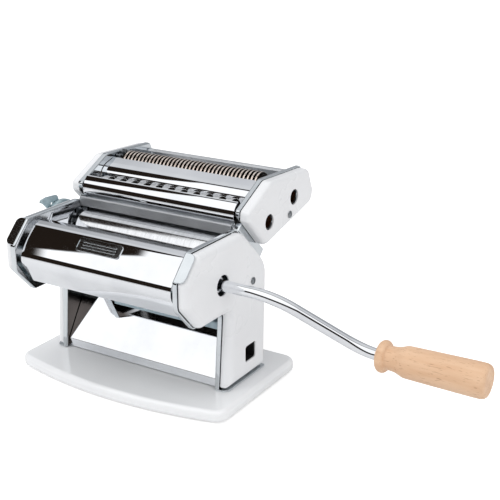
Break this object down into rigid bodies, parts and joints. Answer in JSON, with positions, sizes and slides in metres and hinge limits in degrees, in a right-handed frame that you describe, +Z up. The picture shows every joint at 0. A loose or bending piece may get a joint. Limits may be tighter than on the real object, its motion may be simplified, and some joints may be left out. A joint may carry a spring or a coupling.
{
  "type": "pasta roller machine",
  "caption": "Hand-cranked pasta machine: smooth adjustable sheeting rollers on a flat base, slide-on strip cutter and a wooden-grip crank.",
  "frame": {"origin": "middle of the underside of the base, halfway between the side frames", "axes": "+X along the rollers towards the crank, +Y from the front to the back, +Z up"},
  "size_m": [0.411, 0.2002, 0.1772],
  "materials": {
    "chrome": "mirror chrome plate on pressed steel",
    "white_enamel": "gloss white enamel",
    "base_white": "gloss white",
    "pad_rubber": "matt",
    "zinc": "pale blue passivated zinc plate",
    "roller_steel": "ground steel",
    "bronze": "machined bronze",
    "socket_black": "matt black",
    "beech": "unvarnished beech"
  },
  "bodies": {
    "machine": {"base_plate": "base_white", "base_pad": "pad_rubber", "side_frame_left": "chrome", "side_frame_right": "chrome", "side_cover_left": "white_enamel", "side_cover_right": "white_enamel", "cover_screw_left": "roller_steel", "cover_screw_right": "roller_steel", "front_bush_left": "bronze", "front_bush_right": "bronze", "clamp_socket": "socket_black", "front_hood": "chrome", "hood_plaque": "zinc", "rear_cover": "chrome", "chute": "chrome", "front_stay": "zinc", "rear_stay": "zinc", "scraper_front": "zinc", "scraper_rear": "zinc", "feed_guide_left": "chrome", "feed_guide_right": "chrome", "cutter_rail_left": "chrome", "cutter_rail_right": "chrome", "regulator_plate": "zinc"},
    "drive_roller": {"drive_roller": "roller_steel", "drive_gear": "roller_steel"},
    "crank": {"crank_rod": "chrome"},
    "grip": {"crank_grip": "beech"},
    "rear_carriage": {"rear_bush_left": "bronze", "rear_bush_right": "bronze"},
    "rear_roller": {"rear_roller": "roller_steel", "rear_gear": "roller_steel"},
    "regulator_hub": {"regulator_hub": "roller_steel"},
    "regulator": {"regulator_dial": "zinc", "regulator_wing": "zinc"},
    "cutter": {"cutter_frame_left": "chrome", "cutter_frame_right": "chrome", "cutter_cover_left": "white_enamel", "cutter_cover_right": "white_enamel", "cutter_runner_left": "chrome", "cutter_runner_right": "chrome", "cutter_screw_left": "roller_steel", "cutter_screw_right": "roller_steel", "cutter_front_cover": "chrome", "cutter_mid_cover": "chrome", "cutter_rear_cover": "chrome", "cutter_stay": "zinc", "thin_comb": "roller_steel", "wide_comb": "roller_steel"},
    "thin_drive": {"thin_drive_roller": "bronze", "thin_drive_socket": "roller_steel", "thin_drive_gear": "roller_steel"},
    "thin_idle": {"thin_idle_roller": "bronze", "thin_idle_gear": "roller_steel"},
    "wide_drive": {"wide_drive_roller": "bronze", "wide_drive_socket": "roller_steel", "wide_drive_gear": "roller_steel"},
    "wide_idle": {"wide_idle_roller": "bronze", "wide_idle_gear": "roller_steel"}
  },
  "joints": [
    {"name": "drive_spin", "type": "hinge", "parent": "machine", "child": "drive_roller", "pos_m": [0, -0.03, 0.1092], "axis": [1, 0, 0], "continuous": true},
    {"name": "crank_pull", "type": "slide", "parent": "drive_roller", "child": "crank", "axis": [1, 0, 0], "range_m": [0, 0.03]},
    {"name": "grip_spin", "type": "hinge", "parent": "crank", "child": "grip", "pos_m": [0.25, 0.005, 0.0645], "axis": [1, 0, 0], "continuous": true},
    {"name": "regulator_turn", "type": "hinge", "parent": "machine", "child": "regulator_hub", "pos_m": [-0.0925, 0.001, 0.1212], "axis": [1, 0, 0], "range_deg": [0, 140]},
    {"name": "regulator_pull", "type": "slide", "parent": "regulator_hub", "child": "regulator", "axis": [-1, 0, 0], "range_m": [0, 0.004], "stiffness_N_per_m": 400},
    {"name": "gap_slide", "type": "slide", "parent": "machine", "child": "rear_carriage", "axis": [0, -0.9326, -0.361], "range_m": [0, 0.0018]},
    {"name": "rear_spin", "type": "hinge", "parent": "rear_carriage", "child": "rear_roller", "pos_m": [0, 0.001, 0.1212], "axis": [1, 0, 0], "continuous": true},
    {"name": "cutter_slide", "type": "slide", "parent": "machine", "child": "cutter", "axis": [0, -0.7071, 0.7071], "range_m": [0, 0.045]},
    {"name": "thin_drive_spin", "type": "hinge", "parent": "cutter", "child": "thin_drive", "pos_m": [0, 0.0834, 0.1535], "axis": [1, 0, 0], "continuous": true},
    {"name": "thin_idle_spin", "type": "hinge", "parent": "cutter", "child": "thin_idle", "pos_m": [0, 0.0654, 0.1653], "axis": [1, 0, 0], "continuous": true},
    {"name": "wide_drive_spin", "type": "hinge", "parent": "cutter", "child": "wide_drive", "pos_m": [0, 0.0414, 0.1422], "axis": [1, 0, 0], "continuous": true},
    {"name": "wide_idle_spin", "type": "hinge", "parent": "cutter", "child": "wide_idle", "pos_m": [0, 0.022, 0.1524], "axis": [1, 0, 0], "continuous": true}
  ],
  "couplings": [
    {"joint": "rear_spin", "follows": "drive_spin", "ratio": -1},
    {"joint": "regulator_turn", "follows": "gap_slide", "rad_per_m": 1356.1},
    {"joint": "thin_idle_spin", "follows": "thin_drive_spin", "ratio": -1},
    {"joint": "wide_idle_spin", "follows": "wide_drive_spin", "ratio": -1}
  ]
}
